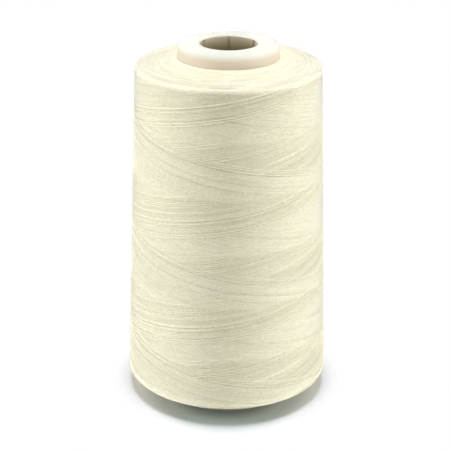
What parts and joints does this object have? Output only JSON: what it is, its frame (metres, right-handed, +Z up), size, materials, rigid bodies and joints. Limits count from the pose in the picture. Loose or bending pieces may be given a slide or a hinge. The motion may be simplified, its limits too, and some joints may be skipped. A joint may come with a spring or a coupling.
{
  "type": "thread cone",
  "caption": "Cross-wound package of fine cream thread on a hollow tapered plastic cone; its bored nose drops over a spindle and its base rim stands on a table.",
  "frame": {"origin": "centre of the cone's base rim, on the surface that it stands on", "axes": "+Z up along the cone's axis towards its nose, -Y towards the viewer of the picture, +X to the viewer's right"},
  "size_m": [0.0966, 0.0966, 0.17],
  "materials": {
    "cone_plastic": "satin moulded plastic, warm off-white",
    "thread": "fine spun thread, cream"
  },
  "bodies": {
    "root": {"cone": "cone_plastic", "wound_layers": "thread", "outer_turns": "thread"}
  },
  "joints": []
}
